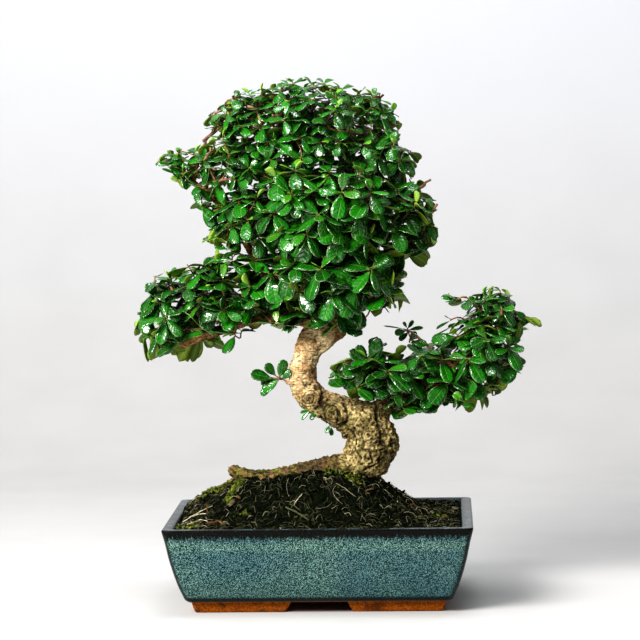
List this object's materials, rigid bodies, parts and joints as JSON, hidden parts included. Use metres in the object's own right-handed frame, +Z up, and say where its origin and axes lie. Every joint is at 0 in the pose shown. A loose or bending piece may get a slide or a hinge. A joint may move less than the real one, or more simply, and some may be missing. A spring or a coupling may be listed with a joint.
{
  "type": "potted bonsai tree",
  "caption": "Broadleaf bonsai with an S-curved trunk, a rounded leafy crown and side pads of spoon-shaped leaves, in a glazed rectangular pot on unglazed feet.",
  "frame": {"origin": "on the surface the pot stands on, under the middle of the whole tree and pot", "axes": "+X along the pot's long side, to the right as seen from the front, +Y through the pot towards the back, +Z up"},
  "size_m": [0.343, 0.184, 0.4313],
  "materials": {
    "glazed_clay": "gloss",
    "soil": "matte",
    "bark": "matte",
    "leaf": "gloss",
    "screen": "matte"
  },
  "bodies": {
    "root": {"drain_screen_left": "screen", "drain_screen_right": "screen", "pot": "glazed_clay", "soil": "soil", "spray_01_top": "leaf", "spray_02_top": "leaf", "spray_03_top": "leaf", "spray_04_top": "leaf", "spray_05_top": "leaf", "spray_06_high_left": "leaf", "spray_07_high_right": "leaf", "spray_08_top_left": "leaf", "spray_09_top_left": "leaf", "spray_10_top_left": "leaf", "spray_11_left_tip": "leaf", "spray_12_top_right": "leaf", "spray_13_mid_left": "leaf", "spray_14_mid_left": "leaf", "spray_15_mid_left": "leaf", "spray_16_mid_right": "leaf", "spray_17_mid_right": "leaf", "spray_18_mid_right": "leaf", "spray_19_front": "leaf", "spray_20_front": "leaf", "spray_21_back": "leaf", "spray_22_low_front": "leaf", "spray_23_low_front": "leaf", "spray_24_low_front": "leaf", "spray_25_low_back": "leaf", "spray_26_low_back": "leaf", "spray_27_low_right": "leaf", "spray_28_low_left": "leaf", "spray_29_left_inner": "leaf", "spray_30_left_inner": "leaf", "spray_31_left_outer": "leaf", "spray_32_left_outer": "leaf", "spray_33_right_inner": "leaf", "spray_34_right_shoot": "leaf", "spray_35_right_middle": "leaf", "spray_36_right_middle": "leaf", "spray_37_right_outer": "leaf", "spray_38_right_outer": "leaf", "spray_39_sprig": "leaf", "wood": "bark"}
  },
  "joints": []
}
